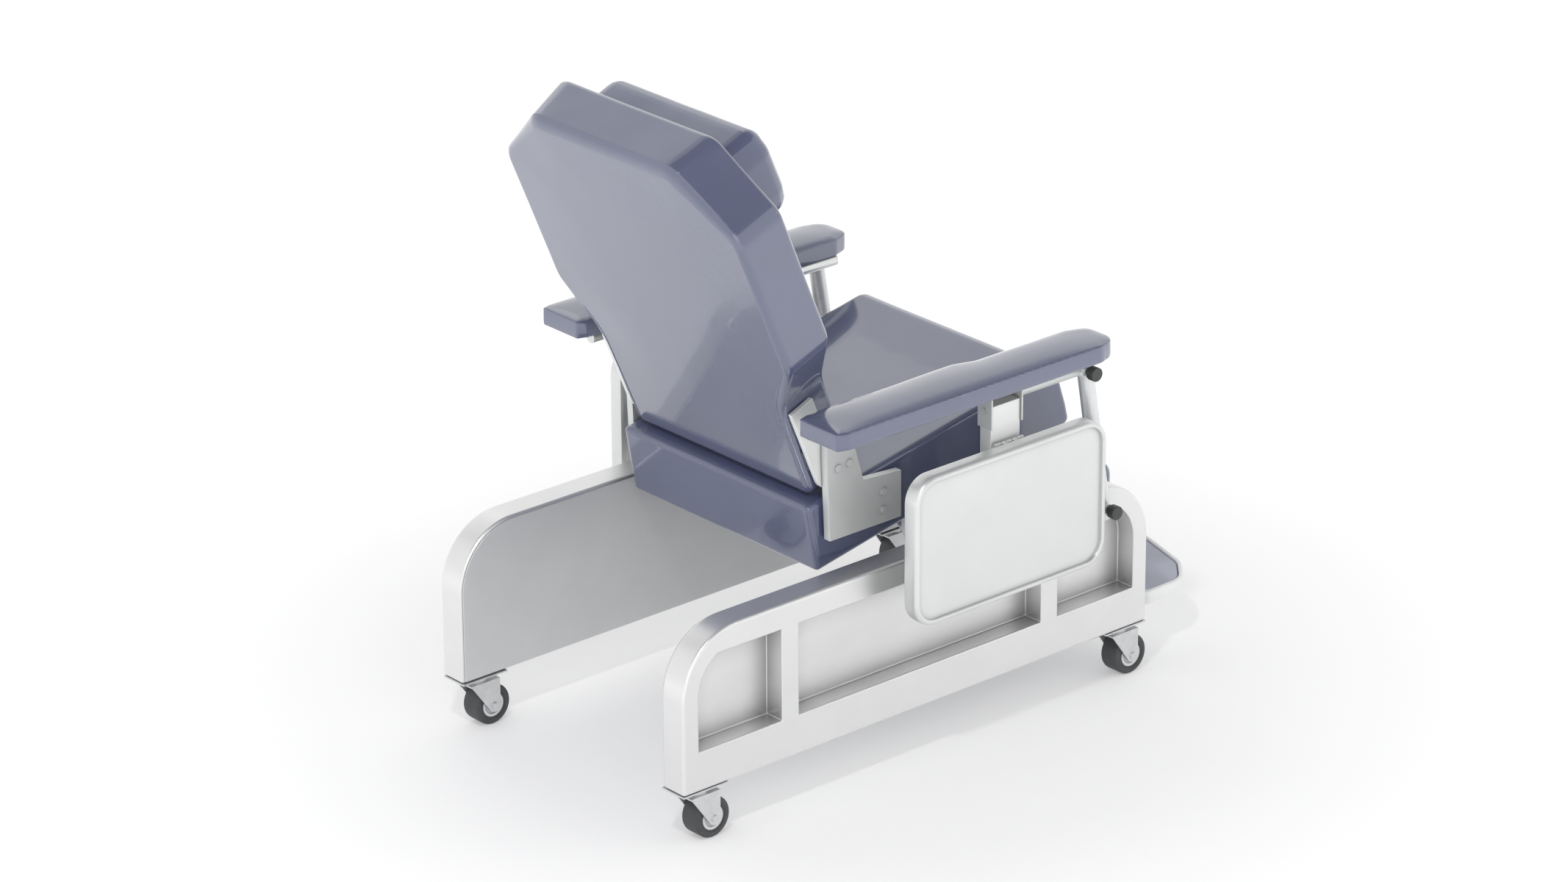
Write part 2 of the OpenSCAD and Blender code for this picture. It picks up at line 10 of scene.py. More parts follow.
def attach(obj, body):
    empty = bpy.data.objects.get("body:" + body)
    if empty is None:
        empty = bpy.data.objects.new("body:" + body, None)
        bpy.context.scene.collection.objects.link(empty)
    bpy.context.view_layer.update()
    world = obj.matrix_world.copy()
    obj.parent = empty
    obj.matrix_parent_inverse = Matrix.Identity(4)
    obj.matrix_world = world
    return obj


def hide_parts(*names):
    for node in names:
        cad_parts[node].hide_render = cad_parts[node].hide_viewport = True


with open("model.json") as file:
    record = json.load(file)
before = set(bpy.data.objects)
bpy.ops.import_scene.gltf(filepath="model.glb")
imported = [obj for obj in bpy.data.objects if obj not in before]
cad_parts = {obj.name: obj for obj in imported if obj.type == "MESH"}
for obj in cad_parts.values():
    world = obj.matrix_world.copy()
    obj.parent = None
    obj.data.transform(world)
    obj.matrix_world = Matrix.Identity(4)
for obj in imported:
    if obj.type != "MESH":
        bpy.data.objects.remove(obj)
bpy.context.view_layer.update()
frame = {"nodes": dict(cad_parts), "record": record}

MM = 0.001
Y0 = 120.0                      # the part's Y of the middle of the side panels, mm
SIDES = (("left", 1), ("right", -1))
LEAN = math.radians(22.8)
TILT = math.radians(10.9)
BACK_BASE = (171, 518)          # (y, z) of the foot of the backrest's rear face
SEAT_REAR = (172, 383)          # (y, z) of the seat's lower rear edge
TRAY_HINGE = (377.5, 577)       # (x, z) of the tray's hinge pin
TRAY_KNUCKLE_R = 4.2
FOOT_PIN = (-572, 118)          # (y, z) of the foot plate's pin
FOOT_KNUCKLE_R = 9


# ---------------------------------------------------------------- places

def P(x, y, z):
    """A point given in mm from the middle of the panels, as metres in the part's frame."""
    return Vector((x * MM, (y + Y0) * MM, z * MM))


def back_point(x, s, n):
    """x across, s up the backrest, n out of its front face, all in mm."""
    y = BACK_BASE[0] + s * math.sin(LEAN) - n * math.cos(LEAN)
    z = BACK_BASE[1] + s * math.cos(LEAN) + n * math.sin(LEAN)
    return P(x, y, z)


def seat_yz(f, u):
    """f forward along the seat and u above its underside, as (y, z) in mm."""
    return (SEAT_REAR[0] - f * math.cos(TILT) + u * math.sin(TILT),
            SEAT_REAR[1] + f * math.sin(TILT) + u * math.cos(TILT))


# ---------------------------------------------------------------- outlines and lofts

def inset(pts, e):
    """A counter-clockwise polygon with every edge moved inwards by e."""
    n = len(pts)
    out = []
    for i in range(n):
        a, p, b = Vector(pts[i - 1]), Vector(pts[i]), Vector(pts[(i + 1) % n])
        u, v = (p - a).normalized(), (b - p).normalized()
        nu, nv = Vector((-u.y, u.x)), Vector((-v.y, v.x))
        k = 1 + nu.dot(nv)
        out.append(p + (nu + nv) * (e / max(k, 0.2)))
    return out


def outline(pts, radii, e=0.0, n=8, least=2.5):
    """The polygon inset by e with its corners rounded; the same number of points for every e."""
    if area2(pts) < 0:
        pts, radii = pts[::-1], radii[::-1]
    moved = inset(pts, e)
    k = len(pts)
    out = []
    for i in range(k):
        p, a, b = moved[i], moved[i - 1], moved[(i + 1) % k]
        u, v = (a - p), (b - p)
        cross = (p - a).x * (b - p).y - (p - a).y * (b - p).x
        r = radii[i] - e if cross > 0 else radii[i] + e
        r = max(r, least)
        lu, lv = u.length, v.length
        u, v = u.normalized(), v.normalized()
        half = math.acos(max(-1, min(1, u.dot(v)))) / 2
        t = min(r / math.tan(half), lu * 0.49, lv * 0.49)
        r = t * math.tan(half)
        c = p + (u + v).normalized() * (r / math.sin(half))
        s, f = p + u * t - c, p + v * t - c
        a0 = math.atan2(s.y, s.x)
        turn = (math.atan2(f.y, f.x) - a0 + 3 * math.pi) % (2 * math.pi) - math.pi
        for j in range(n + 1):
            q = a0 + turn * j / n
            out.append(c + Vector((math.cos(q), math.sin(q))) * r)
    return out


def area2(pts):
    return sum(pts[i - 1][0] * pts[i][1] - pts[i][0] * pts[i - 1][1] for i in range(len(pts)))


def new_mesh(name, verts, faces):
    me = bpy.data.meshes.new(name)
    me.from_pydata([tuple(v) for v in verts], [], faces)
    me.validate()
    bm = bmesh.new()
    bm.from_mesh(me)
    bmesh.ops.recalc_face_normals(bm, faces=bm.faces)
    bm.to_mesh(me)
    bm.free()
    ob = bpy.data.objects.new(name, me)
    bpy.context.scene.collection.objects.link(ob)
    return ob


def loft(name, rings, cap=(True, True)):
    """A skin through rings of the same number of points."""
    n = len(rings[0])
    verts = [v for r in rings for v in r]
    faces = []
    for k in range(len(rings) - 1):
        a, b = k * n, (k + 1) * n
        faces += [(a + i, a + (i + 1) % n, b + (i + 1) % n, b + i) for i in range(n)]
    if cap[0]:
        faces.append(tuple(reversed(range(n))))
    if cap[1]:
        faces.append(tuple(range((len(rings) - 1) * n, len(rings) * n)))
    return new_mesh(name, verts, faces)


def rim(r0, r1, lo, hi, steps=6):
    """(inset, height) pairs from the middle of one face, round both edges, to the other face."""
    out = []
    for i in range(steps + 1):
        t = math.pi / 2 * i / steps
        out.append((r0 * (1 - math.sin(t)), lo + r0 * (1 - math.cos(t))))
    for i in range(steps + 1):
        t = math.pi / 2 * i / steps
        out.append((r1 * (1 - math.cos(t)), hi - r1 * (1 - math.sin(t))))
    return out


def slab(name, pts, radii, profile, place, n=8):
    """A lofted slab: profile is (inset, height) pairs, place turns (u, v, height) into a point."""
    rings = [[place(q.x, q.y, h) for q in outline(pts, radii, e, n)] for e, h in profile]
    return loft(name, rings)


# ---------------------------------------------------------------- mesh work

def evaluated(ob):
    dg = bpy.context.evaluated_depsgraph_get()
    dg.update()
    return bpy.data.meshes.new_from_object(ob.evaluated_get(dg))


def bake(ob):
    """Applies all modifiers of an object."""
    me = evaluated(ob)
    old = ob.data
    ob.modifiers.clear()
    ob.data = me
    bpy.data.meshes.remove(old)
    return ob


def coords(me):
    a = np.empty(len(me.vertices) * 3)
    me.vertices.foreach_get("co", a)
    return a.reshape(-1, 3)


def set_coords(me, a):
    me.vertices.foreach_set("co", np.ascontiguousarray(a).ravel())
    me.update()


def smooth_shading(ob, angle=None):
    me = ob.data
    me.shade_smooth()
    if angle is not None:
        me.set_sharp_from_angle(angle=math.radians(angle))


def slice_grid(ob, cuts):
    """Cuts every face along parallel planes: cuts is (direction, spacing in mm) pairs."""
    bm = bmesh.new()
    bm.from_mesh(ob.data)
    for way, step in cuts:
        way = Vector(way).normalized()
        d = [v.co.dot(way) for v in bm.verts]
        lo, hi = min(d), max(d)
        count = max(1, int((hi - lo) / (step * MM)))
        for i in range(1, count):
            t = lo + (hi - lo) * i / count
            bmesh.ops.bisect_plane(bm, geom=bm.verts[:] + bm.edges[:] + bm.faces[:], dist=1e-5,
                                   plane_co=way * t, plane_no=way)
    bm.to_mesh(ob.data)
    bm.free()


def inflate(ob, voxel, pinned=None, pressure=4.0):
    """Cloth run of a remeshed copy. Returns its resting points and how far each one swelled."""
    copy = bpy.data.objects.new(ob.name + "_cloth", ob.data.copy())
    bpy.context.scene.collection.objects.link(copy)
    m = copy.modifiers.new("remesh", "REMESH")
    m.mode = "VOXEL"
    m.voxel_size = voxel * MM
    bake(copy)
    m = copy.modifiers.new("even", "SMOOTH")
    m.iterations = 3
    bake(copy)
    before = coords(copy.data)
    m = copy.modifiers.new("cloth", "CLOTH")
    s = m.settings
    s.quality = 4
    s.mass = 0.3
    s.tension_stiffness = s.compression_stiffness = 15
    s.shear_stiffness = 5
    s.bending_stiffness = 0.5
    s.use_pressure = True
    s.uniform_pressure_force = pressure
    s.effector_weights.gravity = 0
    m.collision_settings.use_collision = False
    if pinned is not None:
        group = copy.vertex_groups.new(name="rest")
        group.add([i for i, v in enumerate(before) if pinned(v)], 1.0, "REPLACE")
        s.vertex_group_mass = "rest"
    m.point_cache.frame_start = 1
    m.point_cache.frame_end = 20
    for f in range(1, 21):
        bpy.context.scene.frame_set(f)
        bpy.context.view_layer.update()
    bake(copy)
    bpy.context.scene.frame_set(1)
    me = copy.data
    after = coords(me)
    normal = np.empty(len(me.vertices) * 3)
    me.vertices.foreach_get("normal", normal)
    swell = np.einsum("ij,ij->i", after - before, normal.reshape(-1, 3))
    ends = edge_ends(me)
    for _ in range(25):
        swell = 0.5 * swell + 0.5 * neighbour_mean(swell, ends)
    bpy.data.objects.remove(copy)
    return before, swell


def edge_ends(me):
    ends = np.empty(len(me.edges) * 2, dtype=np.int32)
    me.edges.foreach_get("vertices", ends)
    return ends.reshape(-1, 2)


def neighbour_mean(values, ends):
    """For each vertex the mean of its neighbours' values."""
    share = np.bincount(ends.ravel(), minlength=len(values)).astype(float)
    total = np.zeros_like(values)
    np.add.at(total, ends[:, 0], values[ends[:, 1]])
    np.add.at(total, ends[:, 1], values[ends[:, 0]])
    share = np.maximum(share, 1)
    return total / (share if values.ndim == 1 else share[:, None])


def relax(ob, chosen, times):
    """Evens out the chosen vertices of a skin, so that facets of its loft flow into each other."""
    co = coords(ob.data)
    ends = edge_ends(ob.data)
    free = np.array([bool(chosen(c)) for c in co])
    for _ in range(times):
        co[free] = 0.4 * co[free] + 0.6 * neighbour_mean(co, ends)[free]
    set_coords(ob.data, co)


def cushion(ob, cuts, voxel, cap, pinned=None, pressure=4.0, relaxed=None):
    """Refines a lofted skin and lifts it by the crown that the cloth run gives, up to cap mm."""
    slice_grid(ob, cuts)
    base, swell = inflate(ob, voxel, pinned, pressure)
    tree = KDTree(len(base))
    for i, c in enumerate(base):
        tree.insert(c, i)
    tree.balance()
    top = max(1e-6, float(np.percentile(swell, 99)))
    co = coords(ob.data)
    lift = np.empty(len(co))
    for i, c in enumerate(co):
        near = tree.find_n(c, 6)
        w = [1 / (d + 1e-4) for _, _, d in near]
        lift[i] = sum(swell[j] * k for (_, j, _), k in zip(near, w)) / sum(w)
    lift = np.clip(lift / top, -0.3, 1.0) * cap * MM
    normal = np.empty(len(co) * 3)
    ob.data.vertices.foreach_get("normal", normal)
    set_coords(ob.data, co + normal.reshape(-1, 3) * lift[:, None])
    if relaxed is not None:
        relax(ob, relaxed, 14)
    smooth_shading(ob)
    m = ob.modifiers.new("even", "WEIGHTED_NORMAL")
    m.weight = 60
    return bake(ob)


def grow(ob, build):
    """Runs build on the object's mesh in edit form."""
    bm = bmesh.new()
    bm.from_mesh(ob.data)
    build(bm)
    bmesh.ops.recalc_face_normals(bm, faces=bm.faces)
    bm.to_mesh(ob.data)
    bm.free()


def add_bar(ob, a, b, r, roll=0.6, sides=32):
    """Adds a round bar of radius r mm from a to b, its end edges rolled."""
    def build(bm):
        turn = (b - a).to_track_quat("Z", "Y").to_matrix().to_4x4()
        made = bmesh.ops.create_cone(bm, cap_ends=True, segments=sides, radius1=r * MM, radius2=r * MM,
                                     depth=(b - a).length, matrix=Matrix.Translation((a + b) / 2) @ turn)
        ends = {e for v in made["verts"] for e in v.link_edges
                if len(e.link_faces) == 2 and e.calc_face_angle(0) > 1}
        bmesh.ops.bevel(bm, geom=list(ends), offset=roll * MM, segments=2, affect="EDGES")
    grow(ob, build)


def add_block(ob, a, b):
    """Adds a plain block between two opposite corners."""
    def build(bm):
        bmesh.ops.create_cube(bm, size=1, matrix=Matrix.Translation((a + b) / 2)
                              @ Matrix.Diagonal([*(abs(c) for c in (b - a)), 1]))
    grow(ob, build)


def cord(name, onto, path, r, body, slot, sunk=0.5):
    """A thin welt along a path of points, laid on the surface of another piece."""
    pts = []
    for a, b in zip(path, path[1:]):
        count = max(1, int((b - a).length / (6 * MM)))
        pts += [a.lerp(b, i / count) for i in range(count)]
    pts.append(path[-1])
    laid = []
    bpy.context.view_layer.update()
    for q in pts:
        _, at, normal, _ = onto.closest_point_on_mesh(q)
        laid.append((at + normal * r * (1 - 2 * sunk) * MM, normal))
    for _ in range(2):
        laid = [laid[0]] + [((laid[i - 1][0] + laid[i][0] * 2 + laid[i + 1][0]) / 4, laid[i][1])
                            for i in range(1, len(laid) - 1)] + [laid[-1]]
    rings = []
    last = len(laid) - 1
    for i, (at, normal) in enumerate(laid):
        way = (laid[min(i + 1, last)][0] - laid[max(i - 1, 0)][0]).normalized()
        side = way.cross(normal).normalized()
        rise = side.cross(way)
        w = r * MM * min(1.0, 0.25 + min(i, last - i) / 3)
        rings.append([at + (side * math.cos(j * math.pi / 5) + rise * math.sin(j * math.pi / 5)) * w
                      for j in range(10)])
    ob = loft(name, rings)
    smooth_shading(ob)
    return fit_out(ob, body, slot)


def mirrored_copy(ob, name):
    """The same mesh on the other side of the chair."""
    me = ob.data.copy()
    co = coords(me)
    co[:, 0] *= -1
    set_coords(me, co)
    me.flip_normals()
    twin = bpy.data.objects.new(name, me)
    bpy.context.scene.collection.objects.link(twin)
    return twin


def soften(node, width, segs=3, angle=28, flat=0.6, pick=None, second=None):
    """A copy of a CAD part with its facets merged and its edges rolled over."""
    src = frame["nodes"][node]
    bm = bmesh.new()
    bm.from_mesh(src.data)
    bmesh.ops.remove_doubles(bm, verts=bm.verts, dist=2e-6)
    bmesh.ops.dissolve_limit(bm, angle_limit=math.radians(flat), verts=bm.verts, edges=bm.edges)
    for w, s, chosen in ((width, segs, pick), second or (None, None, None)):
        if w is None:
            continue
        sharp = [e for e in bm.edges if len(e.link_faces) == 2
                 and e.calc_face_angle(0) > math.radians(angle)
                 and (chosen is None or chosen(e))]
        bmesh.ops.bevel(bm, geom=sharp, offset=w * MM, offset_type="OFFSET", segments=s,
                        profile=0.5, affect="EDGES", clamp_overlap=True, loop_slide=True)
    me = bpy.data.meshes.new(node + "_skin")
    bm.to_mesh(me)
    bm.free()
    ob = bpy.data.objects.new(node + "_skin", me)
    bpy.context.scene.collection.objects.link(ob)
    smooth_shading(ob, 35)
    m = ob.modifiers.new("flat", "WEIGHTED_NORMAL")
    m.keep_sharp = True
    m.weight = 80
    bake(ob)
    return ob


# ---------------------------------------------------------------- materials

class Nodes:
    """A small helper to wire a node material."""

    def __init__(self, name):
        self.mat = bpy.data.materials.new(name)
        self.mat.use_nodes = True
        self.t = self.mat.node_tree
        self.bsdf = self.t.nodes["Principled BSDF"]
        self.obj = self.t.nodes.new("ShaderNodeTexCoord").outputs["Object"]

    def put(self, kind, **sockets):
        nd = self.t.nodes.new(kind)
        for k, v in sockets.items():
            self.feed(nd, k, v)
        return nd

    def feed(self, nd, key, value):
        sock = nd.inputs[key.replace("_", " ")] if isinstance(key, str) else nd.inputs[key]
        if isinstance(value, bpy.types.NodeSocket):
            self.t.links.new(value, sock)
        else:
            sock.default_value = value

    def noise(self, scale, detail=2.0, rough=0.5, coord=None):
        nd = self.put("ShaderNodeTexNoise", Scale=scale, Detail=detail, Roughness=rough)
        self.t.links.new(coord or self.obj, nd.inputs["Vector"])
        return nd.outputs["Fac"]

    def ramp(self, fac, stops):
        nd = self.t.nodes.new("ShaderNodeValToRGB")
        el = nd.color_ramp.elements
        while len(el) < len(stops):
            el.new(0.5)
        for e, (p, c) in zip(el, stops):
            e.position = p
            e.color = c if len(c) == 4 else (*c, 1)
        self.t.links.new(fac, nd.inputs["Fac"])
        return nd.outputs["Color"]

    def span(self, fac, lo, hi, a=0.0, b=1.0):
        nd = self.t.nodes.new("ShaderNodeMapRange")
        for k, v in zip(("From Min", "From Max", "To Min", "To Max"), (a, b, lo, hi)):
            nd.inputs[k].default_value = v
        self.t.links.new(fac, nd.inputs["Value"])
        return nd.outputs["Result"]

    def math(self, op, a, b):
        nd = self.t.nodes.new("ShaderNodeMath")
        nd.operation = op
        self.feed(nd, 0, a)
        self.feed(nd, 1, b)
        return nd.outputs[0]

    def mix(self, fac, a, b, blend="MIX"):
        nd = self.t.nodes.new("ShaderNodeMix")
        nd.data_type = "RGBA"
        nd.blend_type = blend
        self.feed(nd, 0, fac)
        self.feed(nd, 6, a)
        self.feed(nd, 7, b)
        return nd.outputs[2]

    def bump(self, height, dist, strength=1.0, under=None):
        nd = self.put("ShaderNodeBump", Height=height, Distance=dist, Strength=strength)
        if under is not None:
            self.t.links.new(under, nd.inputs["Normal"])
        return nd.outputs["Normal"]

    def done(self, **values):
        for k, v in values.items():
            self.feed(self.bsdf, k, v)
        return self.mat


def srgb(r, g, b):
    return tuple(c / 12.92 if c <= 0.04045 else ((c + 0.055) / 1.055) ** 2.4
                 for c in (r / 255, g / 255, b / 255)) + (1.0,)


def shade(c, k):
    return (c[0] * k, c[1] * k, c[2] * k, 1.0)


def edge_factor(m, lo, hi):
    """0 on flat and hollow places, 1 on proud edges."""
    geo = m.t.nodes.new("ShaderNodeNewGeometry")
    return m.span(geo.outputs["Pointiness"], 0.0, 1.0, lo, hi)


def vinyl(name, base, ior=1.72, coat=0.8):
    """Coated upholstery: fine pebble grain, slow tension waves, a clear gloss over it."""
    m = Nodes(name)
    tone = m.noise(5.0, 3.0, 0.6)
    col = m.ramp(tone, [(0.3, shade(base, 0.93)[:3]), (0.7, shade(base, 1.06)[:3])])
    worn = edge_factor(m, 0.53, 0.60)
    col = m.mix(m.math("MULTIPLY", worn, 0.16), col, (0.42, 0.44, 0.52, 1))
    peb = m.put("ShaderNodeTexVoronoi", Scale=640.0)
    m.t.links.new(m.obj, peb.inputs["Vector"])
    fine = m.math("ADD", peb.outputs["Distance"], m.noise(1500.0, 2.0))
    waves = m.bump(m.noise(9.0, 2.0), 0.0012, 0.35)
    normal = m.bump(fine, 0.00006, 0.25, waves)
    rough = m.span(m.noise(14.0, 4.0), 0.11, 0.18)
    return m.done(Base_Color=col, Roughness=rough, IOR=ior, Normal=normal,
                  Coat_Weight=coat, Coat_Roughness=0.05, Coat_Normal=waves, Sheen_Weight=0.05)


def satin(name, base, rough=(0.30, 0.40), peel=0.00010, coat=0.0, metallic=0.88,
          painted_shade_tone=0.62, painted_shade_reach=0.06):
    """Satin metallic paint: orange peel, faint cloudiness, slightly rubbed edges, and painted shade in its
    hollows and nooks.
    """
    m = Nodes(name)
    col = m.ramp(m.noise(7.0, 4.0, 0.6), [(0.3, shade(base, 0.97)[:3]), (0.7, shade(base, 1.02)[:3])])
    col = m.mix(m.math("MULTIPLY", edge_factor(m, 0.52, 0.60), 0.25), col, shade(base, 1.08))
    # Painted shade: the colour darkens in hollow places and near other surfaces (the AO node), standing in
    # for shade in recesses, corners and around rivets.
    hollow = m.span(m.t.nodes.new("ShaderNodeNewGeometry").outputs["Pointiness"], 1.0, 0.0, 0.40, 0.48)
    col = m.mix(m.math("MULTIPLY", hollow, 0.25), col, shade(base, 0.72))
    nook_painted_shade = m.put("ShaderNodeAmbientOcclusion", Distance=painted_shade_reach)
    nook_painted_shade.samples = 8
    col = m.mix(m.span(nook_painted_shade.outputs["AO"], 1.0, 0.0, 0.35, 0.95), col, shade(base, painted_shade_tone))
    normal = m.bump(m.math("ADD", m.noise(420.0, 2.0), m.math("MULTIPLY", m.noise(90.0), 0.6)),
                    peel, 0.35)
    return m.done(Base_Color=col, Roughness=m.span(m.noise(30.0, 3.0), *rough), Normal=normal,
                  Metallic=metallic, Coat_Weight=coat, Coat_Roughness=0.2)


def metal(name, base, rough=(0.28, 0.42), metallic=0.85, streak=(4.0, 260.0, 260.0), bite=0.00004):
    """Plated or satin metal with fine drawn streaks."""
    m = Nodes(name)
    mp = m.put("ShaderNodeMapping", Scale=streak)
    m.t.links.new(m.obj, mp.inputs["Vector"])
    grain = m.noise(1.0, 4.0, 0.7, mp.outputs["Vector"])
    col = m.ramp(grain, [(0.3, shade(base, 0.90)[:3]), (0.7, shade(base, 1.05)[:3])])
    return m.done(Base_Color=col, Roughness=m.span(grain, *rough), Metallic=metallic,
                  Normal=m.bump(grain, bite, 0.3))


def rubber(name, base, scale=500.0, rough=(0.5, 0.7)):
    m = Nodes(name)
    col = m.ramp(m.noise(25.0, 4.0), [(0.3, shade(base, 0.85)[:3]), (0.75, shade(base, 1.25)[:3])])
    return m.done(Base_Color=col, Roughness=m.span(m.noise(60.0), *rough),
                  Normal=m.bump(m.noise(scale, 3.0), 0.0002, 0.3))


def ribbed(name, base, pitch=6.0):
    """Rubber mat with fine ribs along the width of the chair."""
    m = Nodes(name)
    w = m.put("ShaderNodeTexWave", Scale=1000.0 / pitch / 20 * 3.14159)
    w.wave_type = "BANDS"
    w.bands_direction = "Y"
    m.t.links.new(m.obj, w.inputs["Vector"])
    col = m.ramp(m.noise(12.0, 3.0), [(0.3, shade(base, 0.92)[:3]), (0.7, shade(base, 1.08)[:3])])
    return m.done(Base_Color=col, Roughness=m.span(m.noise(40.0), 0.35, 0.5),
                  Normal=m.bump(w.outputs["Fac"], 0.0004, 0.25))


def timber(name, base):
    m = Nodes(name)
    mp = m.put("ShaderNodeMapping", Scale=(30.0, 2.0, 2.0))
    m.t.links.new(m.obj, mp.inputs["Vector"])
    g = m.noise(4.0, 5.0, 0.6, mp.outputs["Vector"])
    col = m.ramp(g, [(0.3, shade(base, 0.8)[:3]), (0.7, shade(base, 1.1)[:3])])
    return m.done(Base_Color=col, Roughness=0.6, Normal=m.bump(g, 0.0002, 0.3))


def wheel_face(name, base, tyre_tone, across):
    """Hub disc with turned rings, the groove band and thin lines at its edge and at the lip painted darker
    as painted shade; beyond its lip it takes the tyre's tone. across: its width in mm.
    """
    m = Nodes(name)
    place = m.t.nodes.new("ShaderNodeTexCoord").outputs["Generated"]
    split = m.t.nodes.new("ShaderNodeSeparateXYZ")
    m.t.links.new(place, split.inputs[0])
    u = m.math("SUBTRACT", split.outputs["Y"], 0.5)
    v = m.math("SUBTRACT", split.outputs["Z"], 0.5)
    r = m.math("SQRT", m.math("ADD", m.math("MULTIPLY", u, u), m.math("MULTIPLY", v, v)), 0.0)
    r = m.math("MULTIPLY", r, across)
    light, groove_floor_shade, groove_edge_shade = base[:3], shade(base, 0.72)[:3], shade(base, 0.3)[:3]
    # Painted shade: the ring groove (11 to 18 mm) and the thin lines at its inner edge and at the lip (22.8
    # mm) are darker.
    stops = [(0.0, light), (10.5, light), (11.2, groove_edge_shade), (12.0, groove_floor_shade), (17.2, groove_floor_shade), (17.8, light),
             (22.2, light), (22.8, groove_edge_shade), (23.4, tyre_tone[:3])]
    col = m.ramp(m.math("DIVIDE", r, 40.0), [(d / 40.0, c) for d, c in stops])
    beyond = m.span(r, 0.0, 1.0, 22.6, 23.2)
    return m.done(Base_Color=col, Roughness=m.span(beyond, 0.34, 0.6), Metallic=m.span(beyond, 0.5, 0.0),
                  Normal=m.bump(m.noise(500.0, 2.0), 0.0001, 0.25))


BLUE = srgb(79, 86, 117)
# Satin finishes: the numbers after metallic, where given, set how dark the painted shade in nooks gets and
# how far it reaches, in metres.
MAT = {
    "shell": satin("shell_white", srgb(230, 230, 230), (0.30, 0.37), 0.00004, 0.0, 0.88, 0.56),
    "cover": satin("cover_grey", srgb(212, 213, 214), (0.36, 0.48), 0.00006, 0.0, 0.6, 0.85),
    "bracket_steel": satin("bracket_paint", srgb(212, 214, 214), (0.40, 0.52), 0.00012, 0.05, 0.5, 0.35,
                           0.008),
    "bar_white": satin("bar_paint", srgb(232, 233, 232), (0.30, 0.40), 0.00006, 0.15, 0.4, 0.9),
    "tube": metal("satin_tube", srgb(226, 228, 229), (0.24, 0.32), 0.35, (60.0, 60.0, 3.0)),
    "arm_board": satin("rail_paint", srgb(222, 224, 223), (0.26, 0.36), 0.00006, 0.2),
    "arm_vinyl": vinyl("arm_vinyl", srgb(79, 86, 117), 1.82, 1.0),
    "seat_vinyl": vinyl("seat_vinyl", BLUE),
    "back_vinyl": vinyl("back_vinyl", srgb(77, 84, 114), 1.88, 1.0),
    "pillow_vinyl": vinyl("pillow_vinyl", BLUE),
    "calf_vinyl": vinyl("calf_vinyl", BLUE),
    "tray": satin("tray_white", srgb(222, 223, 223), (0.34, 0.42), 0.00006, 0.05, 0.7, 0.45, 0.012),
    "knob": rubber("knob_black", srgb(62, 64, 63), 900.0, (0.35, 0.5)),
    "caster_steel": metal("zinc_plate", srgb(214, 215, 216), (0.25, 0.45), 0.7, (60.0, 60.0, 60.0)),
    "hub": wheel_face("hub_grey", srgb(214, 216, 218), srgb(66, 68, 70), 54.0),
    "tyre": rubber("tyre_rubber", srgb(66, 68, 70)),
    "frame_steel": satin("frame_paint", srgb(196, 198, 200), (0.3, 0.45), 0.0001, 0.05),
    "board": timber("painted_board", srgb(70, 76, 100)),
    "foot_tray": satin("foot_tray_white", srgb(236, 237, 237), (0.34, 0.44), 0.00006, 0.2, 0.3, 0.7),
    "foot_pad": ribbed("foot_mat", srgb(178, 182, 196)),
}


def paint(ob, name):
    ob.data.materials.clear()
    ob.data.materials.append(MAT[name])


def fit_out(ob, body, slot, *nodes, fill=None):
    """Material, body and replaced CAD nodes of a finished piece. fill, its padding, is not used."""
    paint(ob, slot)
    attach(ob, body)
    if nodes:
        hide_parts(*nodes)
    return ob


slot_of = {s["node"]: s["material_slot"] for s in frame["record"]["subparts"]}
body_of = {n: b for b, ns in frame["record"]["behaviour"]["bodies"].items() for n in ns}
for node, ob in frame["nodes"].items():
    ob.data.materials.clear()
    ob.data.materials.append(MAT[slot_of[node]])


# ---------------------------------------------------------------- backrest

UP_BACK = (0, math.sin(LEAN), math.cos(LEAN))
OUT_BACK = (0, -math.cos(LEAN), math.sin(LEAN))
BACK = [(233, 0), (242.5, 199), (311.5, 312), (311.5, 593), (190, 714.5),
        (-190, 714.5), (-311.5, 593), (-311.5, 312), (-242.5, 199), (-233, 0)]
BACK_R = [20, 120, 60, 48, 48, 48, 48, 60, 120, 20]


def quarter(r, n):
    """How far a rounding of radius r has drawn in at depth n below its face."""
    return 0.0 if n >= r else r - math.sqrt(max(0.0, r * r - (r - n) ** 2))


def back_place(x, s, n):
    """The backrest's own place for a point, with a fuller rounding along its top rear edge."""
    t = min(1.0, max(0.0, (s - 630) / 60))
    t = t * t * (3 - 2 * t)
    x += math.copysign(1, x) * min(1.0, abs(x) / 150) * t * (n - 45) / 6
    return back_point(x, s - t * (quarter(32, n) - quarter(14, n)), n)


back = slab("back_upholstery", BACK, BACK_R, [(e - 1, h) for e, h in rim(14, 12, 0.5, 106.5, 7)],
            back_place)
cushion(back, [((1, 0, 0), 14), (UP_BACK, 14), (OUT_BACK, 14)], 8.0, 3.5)
fit_out(back, "backrest", "back_vinyl", "back_cushion", fill=0.9)
for side, k in SIDES:
    edge = [(k * 221, 5), (k * 230, 196), (k * 238, 222), (k * 262, 262)]
    cord(side + "_back_welt", back, [back_point(x, s, -4) for x, s in edge], 1.3, "backrest", "back_vinyl")
    lip = [(206, 22), (222, 40), (231, 62), (226, 88), (214, 96)]
    cord(side + "_back_pocket", back, [back_point(k * 262, s, n) for s, n in lip], 1.4, "backrest",
         "back_vinyl")

